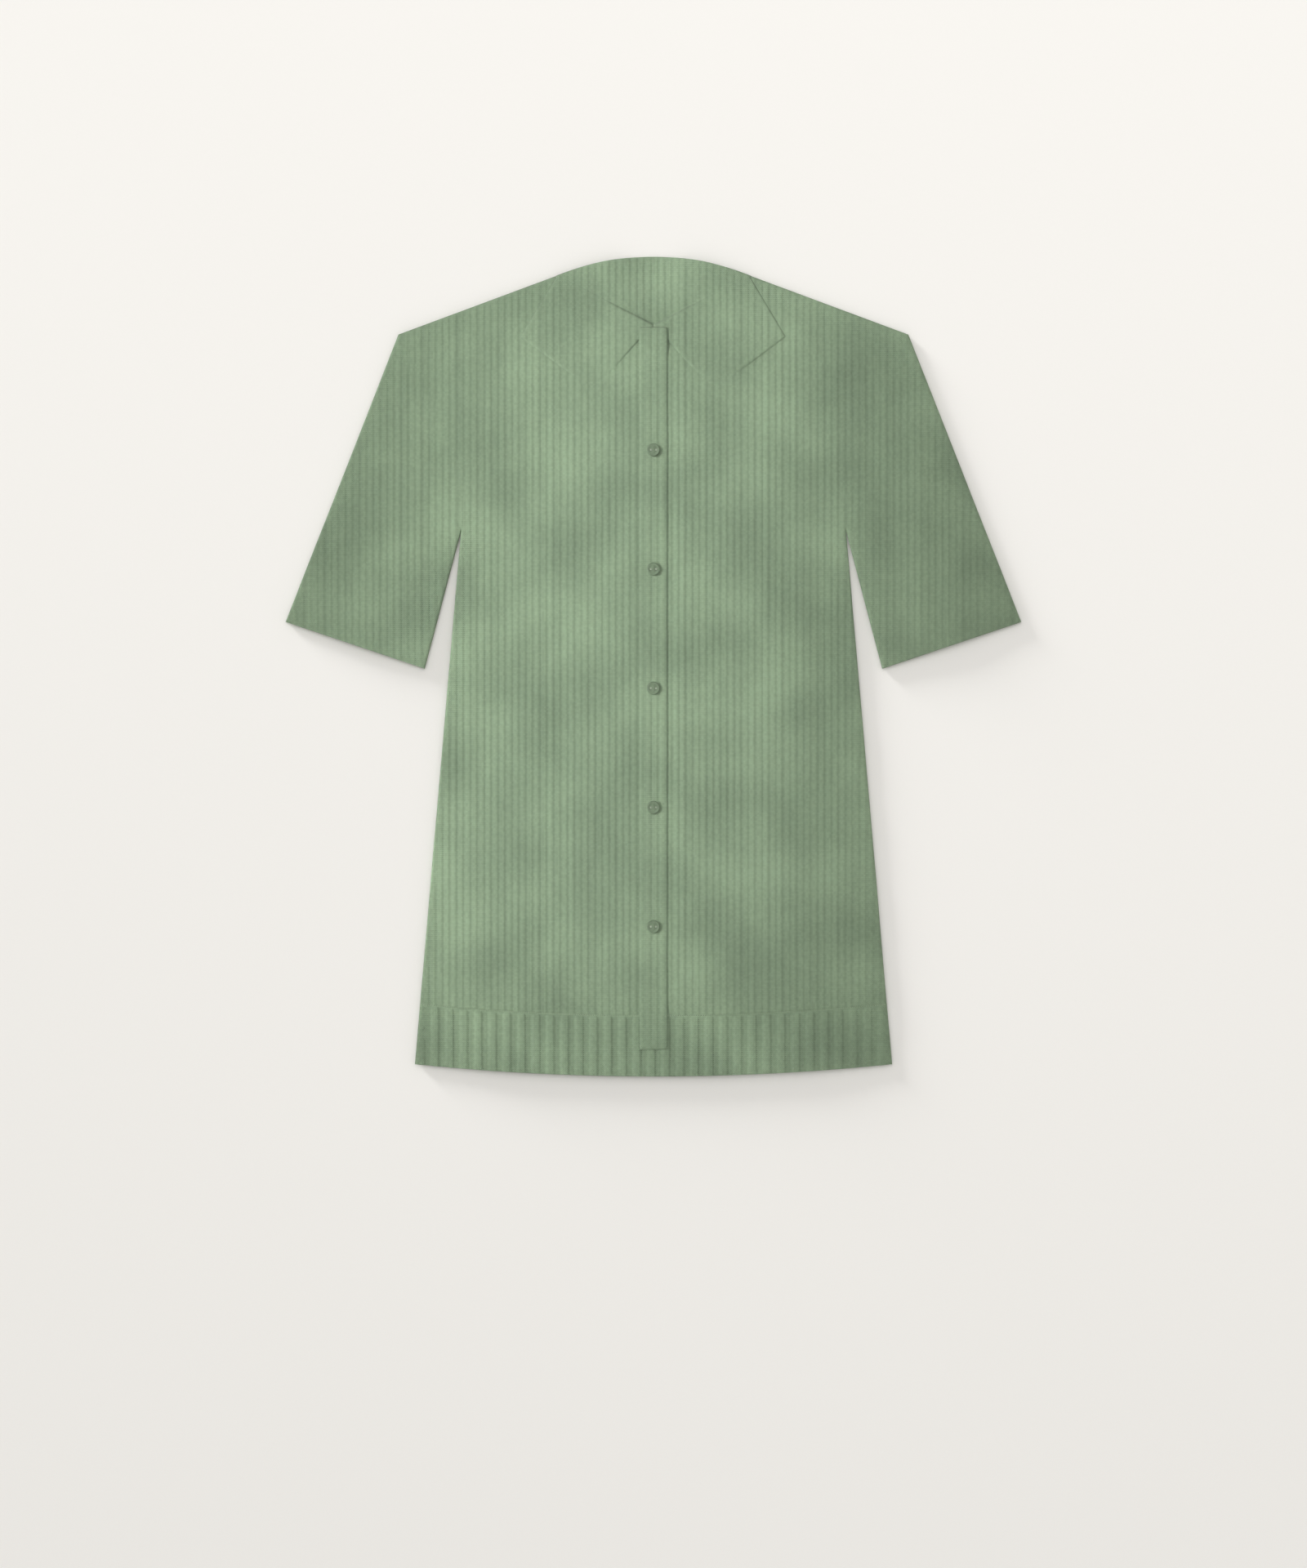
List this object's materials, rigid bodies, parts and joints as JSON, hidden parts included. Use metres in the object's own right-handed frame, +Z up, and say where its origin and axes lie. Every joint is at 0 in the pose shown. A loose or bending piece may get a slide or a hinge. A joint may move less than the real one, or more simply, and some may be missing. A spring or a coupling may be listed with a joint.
{
  "type": "knit polo shirt laid flat",
  "caption": "Short-sleeved rib-knit shirt with collar, buttoned front band and wide ribbed hem, laid flat on its back.",
  "frame": {"origin": "on the surface that the shirt lies on, under the middle of its outline", "axes": "+X to the viewer's right across the shirt, +Y up the shirt from hem to neck, +Z up from the surface, out of the front"},
  "size_m": [0.6476, 0.7218, 0.013],
  "materials": {
    "knit": "matte rib knit",
    "button": "satin"
  },
  "bodies": {
    "root": {"back": "knit", "front_right": "knit", "front_left": "knit", "sleeve_right": "knit", "sleeve_left": "knit", "hem_band": "knit", "button_stand": "knit", "button_band": "knit", "collar": "knit", "button_1": "button", "button_2": "button", "button_3": "button", "button_4": "button", "button_5": "button"}
  },
  "joints": []
}
